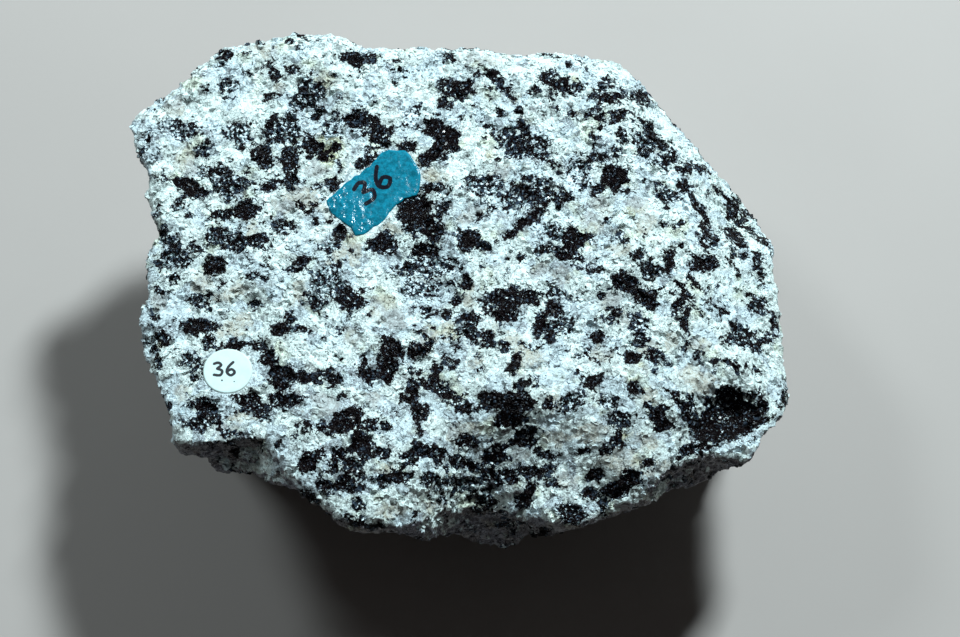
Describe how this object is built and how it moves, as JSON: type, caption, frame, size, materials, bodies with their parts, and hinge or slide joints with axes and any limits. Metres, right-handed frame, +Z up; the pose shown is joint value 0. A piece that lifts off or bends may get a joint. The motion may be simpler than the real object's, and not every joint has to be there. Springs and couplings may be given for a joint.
{
  "type": "rock specimen",
  "caption": "Hand specimen of tonalite: a rough speckled stone that rests on a flat spot, with a dab of paint and a round paper dot for its catalogue number.",
  "frame": {"origin": "under the middle of the stone's box, on the surface that it rests on", "axes": "+X along the stone's longest extent, to the right as seen from the front; +Y away from the viewer; +Z up, out of the broken upper face"},
  "size_m": [0.1082, 0.0904, 0.039],
  "materials": {
    "tonalite": "rough broken crystalline, white with black grains",
    "paint": "glossy teal paint, brushed on",
    "paper": "matte white"
  },
  "bodies": {
    "root": {"tonalite": "tonalite", "paint_label": "paint", "paper_label": "paper"}
  },
  "joints": []
}
